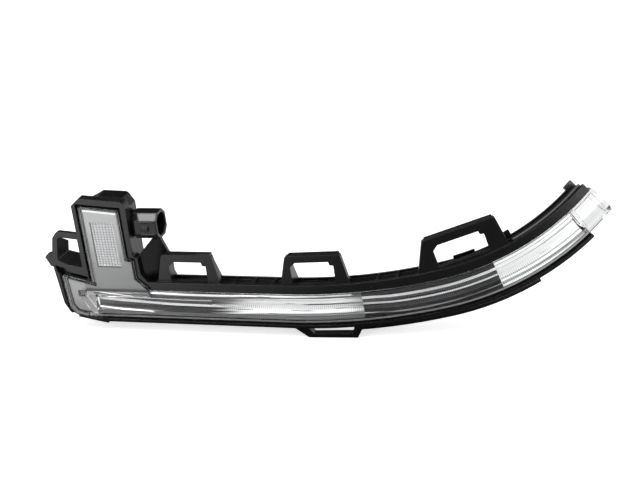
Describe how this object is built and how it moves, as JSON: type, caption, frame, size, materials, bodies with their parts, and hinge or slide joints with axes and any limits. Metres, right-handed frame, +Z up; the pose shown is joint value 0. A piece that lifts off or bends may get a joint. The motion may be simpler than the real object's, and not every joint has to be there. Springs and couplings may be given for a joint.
{
  "type": "mirror turn signal lamp",
  "caption": "Long clear turn signal lamp that wraps round a door mirror, with a black carrier, open clip loops, a tall lens window and a plug socket.",
  "frame": {"origin": "on the front face of the inner clip loop's top bar, at the middle of the bar", "axes": "+X along the straight inner half of the strip towards its wrapped end, -Y out through the lens, +Z up"},
  "size_m": [0.2468, 0.0474, 0.0652],
  "materials": {
    "grained_black": "fine-grained black moulding",
    "clear_lens": "clear polished acrylic",
    "bright_trim": "metallised bright plastic",
    "clear_guide": "clear moulded light guide",
    "window_silver": "metallised satin plastic",
    "satin_optic": "clear pillow optic, pale grey against its bowl",
    "gloss_black": "polished black moulding",
    "circuit_board": "green solder mask",
    "led_body": "amber-tinted emitter on a white package",
    "chip_black": "moulded black package",
    "capacitor_tan": "tan ceramic",
    "screw_steel": "zinc-plated",
    "vent_white": "woven membrane",
    "gasket_rubber": "soft black foam rubber",
    "pin_tin": "tin-plated"
  },
  "bodies": {
    "root": {"housing": "grained_black", "outer_lens": "clear_lens", "reflector_trim": "bright_trim", "light_guide": "clear_guide", "guide_board": "circuit_board", "guide_led": "led_body", "guide_holder": "gloss_black", "window_reflector": "window_silver", "pillow_lens": "satin_optic", "main_board": "circuit_board", "window_led_1": "led_body", "window_led_2": "led_body", "driver_chip": "chip_black", "board_capacitor": "capacitor_tan", "resistor_1": "chip_black", "resistor_2": "chip_black", "board_screws": "screw_steel", "rear_cover": "gloss_black", "vent_membrane": "vent_white", "cover_gasket": "gasket_rubber", "connector_socket": "gloss_black", "terminal_pin_1": "pin_tin", "terminal_pin_2": "pin_tin", "terminal_pin_3": "pin_tin"}
  },
  "joints": []
}
